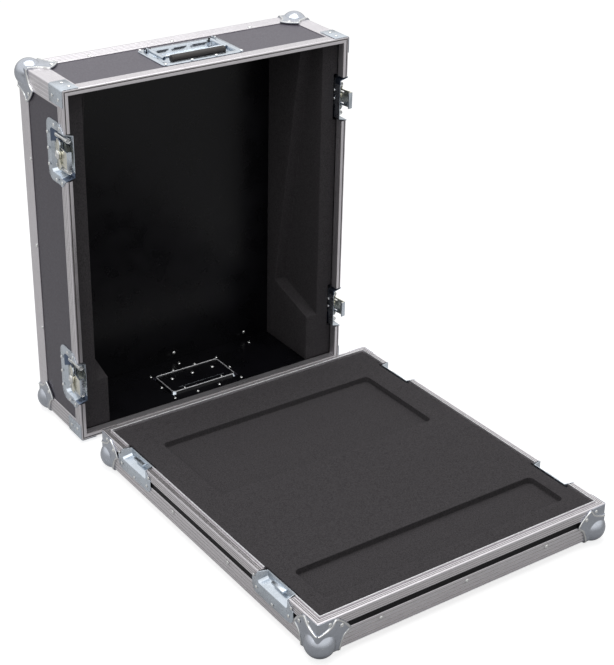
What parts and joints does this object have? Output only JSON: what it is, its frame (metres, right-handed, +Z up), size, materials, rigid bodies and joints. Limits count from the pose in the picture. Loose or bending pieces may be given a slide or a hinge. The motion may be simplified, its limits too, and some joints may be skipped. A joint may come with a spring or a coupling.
{
  "type": "flight case for a mixer",
  "caption": "Open mixer flight case: foam-lined tray in front and deep cover standing behind it, with aluminium edges, steel ball corners, recessed turning latches and spring handles.",
  "frame": {"origin": "centre of the whole object's base on the floor", "axes": "+Z up; +Y from the tray towards the standing cover; +X to the right seen from the tray's near end"},
  "size_m": [0.5392, 0.8542, 0.6231],
  "materials": {
    "laminate": "plywood with a dark charcoal laminate, fine matt grain",
    "aluminium": "satin extruded profile with fine lengthwise ribs",
    "steel": "pressed sheet steel, bluish zinc plating",
    "foam": "closed-cell grey foam, matt",
    "grip": "dark moulded rubber grip on a plated bail"
  },
  "bodies": {
    "tray": {"keeper_left_far": "steel", "keeper_left_near": "steel", "keeper_right_far": "steel", "keeper_right_near": "steel", "tray_ball_far_left": "steel", "tray_ball_far_right": "steel", "tray_ball_near_left": "steel", "tray_ball_near_right": "steel", "tray_bottom_panel": "laminate", "tray_closing_far": "aluminium", "tray_closing_left": "aluminium", "tray_closing_near": "aluminium", "tray_closing_right": "aluminium", "tray_edge_far": "aluminium", "tray_edge_near": "aluminium", "tray_foam": "foam", "tray_wall": "laminate"},
    "cover": {"cover_ball_bottom_left": "steel", "cover_ball_bottom_right": "steel", "cover_ball_top_left": "steel", "cover_ball_top_right": "steel", "cover_brace_bottom_left": "steel", "cover_brace_bottom_right": "steel", "cover_brace_top_left": "steel", "cover_brace_top_right": "steel", "cover_closing_bottom": "aluminium", "cover_closing_left": "aluminium", "cover_closing_right": "aluminium", "cover_closing_top": "aluminium", "cover_edge_back_bottom": "aluminium", "cover_edge_back_left": "aluminium", "cover_edge_back_right": "aluminium", "cover_edge_back_top": "aluminium", "cover_edge_bottom_left": "aluminium", "cover_edge_bottom_right": "aluminium", "cover_edge_top_left": "aluminium", "cover_edge_top_right": "aluminium", "cover_end_panel": "laminate", "cover_wall_bottom": "laminate", "cover_wall_left": "laminate", "cover_wall_right": "laminate", "cover_wall_top": "laminate", "handle_dish_bottom": "steel", "handle_dish_top": "steel", "latch_dish_left_bottom": "steel", "latch_dish_left_top": "steel", "latch_dish_right_bottom": "steel", "latch_dish_right_top": "steel", "side_foam_left": "foam", "side_foam_right": "foam"},
    "arm_left_bottom": {"latch_arm_left_bottom": "steel"},
    "wing_left_bottom": {"latch_wing_left_bottom": "steel"},
    "arm_left_top": {"latch_arm_left_top": "steel"},
    "wing_left_top": {"latch_wing_left_top": "steel"},
    "arm_right_bottom": {"latch_arm_right_bottom": "steel"},
    "wing_right_bottom": {"latch_wing_right_bottom": "steel"},
    "arm_right_top": {"latch_arm_right_top": "steel"},
    "wing_right_top": {"latch_wing_right_top": "steel"},
    "bail_bottom": {"handle_bail_bottom": "grip"},
    "bail_top": {"handle_bail_top": "grip"}
  },
  "joints": [
    {"name": "cover_closes", "type": "hinge", "parent": "tray", "child": "cover", "pos_m": [0, 0.19525, -0.00377], "axis": [1, 0, 0], "range_deg": [0, 88.74]},
    {"name": "arm_left_bottom_swing", "type": "hinge", "parent": "cover", "child": "arm_left_bottom", "pos_m": [-0.2505, 0.29945, 0.1138], "axis": [0, -0.0221, 0.9998], "range_deg": [0, 8]},
    {"name": "wing_left_bottom_turn", "type": "hinge", "parent": "arm_left_bottom", "child": "wing_left_bottom", "pos_m": [-0.25897, 0.28449, 0.11347], "axis": [-0.9903, 0.1391, 0.0031], "range_deg": [0, 180]},
    {"name": "arm_left_top_swing", "type": "hinge", "parent": "cover", "child": "arm_left_top", "pos_m": [-0.2505, 0.29082, 0.50471], "axis": [0, -0.0221, 0.9998], "range_deg": [0, 8]},
    {"name": "wing_left_top_turn", "type": "hinge", "parent": "arm_left_top", "child": "wing_left_top", "pos_m": [-0.25897, 0.27586, 0.50438], "axis": [-0.9903, 0.1391, 0.0031], "range_deg": [0, 180]},
    {"name": "arm_right_bottom_swing", "type": "hinge", "parent": "cover", "child": "arm_right_bottom", "pos_m": [0.2505, 0.29945, 0.1138], "axis": [0, 0.0221, -0.9998], "range_deg": [0, 8]},
    {"name": "wing_right_bottom_turn", "type": "hinge", "parent": "arm_right_bottom", "child": "wing_right_bottom", "pos_m": [0.25897, 0.28449, 0.11347], "axis": [0.9903, 0.1391, 0.0031], "range_deg": [0, 180]},
    {"name": "arm_right_top_swing", "type": "hinge", "parent": "cover", "child": "arm_right_top", "pos_m": [0.2505, 0.29082, 0.50471], "axis": [0, 0.0221, -0.9998], "range_deg": [0, 8]},
    {"name": "wing_right_top_turn", "type": "hinge", "parent": "arm_right_top", "child": "wing_right_top", "pos_m": [0.25897, 0.27586, 0.50438], "axis": [0.9903, 0.1391, 0.0031], "range_deg": [0, 180]},
    {"name": "bail_bottom_lift", "type": "hinge", "parent": "cover", "child": "bail_bottom", "pos_m": [0, 0.36611, 0.00775], "axis": [1, 0, 0], "range_deg": [0, 90], "stiffness_Nm_per_rad": 0.05, "springref_deg": -57.3},
    {"name": "bail_top_lift", "type": "hinge", "parent": "cover", "child": "bail_top", "pos_m": [0, 0.35273, 0.6136], "axis": [-1, 0, 0], "range_deg": [0, 90], "stiffness_Nm_per_rad": 0.05, "springref_deg": -57.3}
  ],
  "couplings": [
    {"joint": "arm_left_bottom_swing", "follows": "wing_left_bottom_turn", "ratio": 0.044444},
    {"joint": "arm_left_top_swing", "follows": "wing_left_top_turn", "ratio": 0.044444},
    {"joint": "arm_right_bottom_swing", "follows": "wing_right_bottom_turn", "ratio": 0.044444},
    {"joint": "arm_right_top_swing", "follows": "wing_right_top_turn", "ratio": 0.044444}
  ]
}
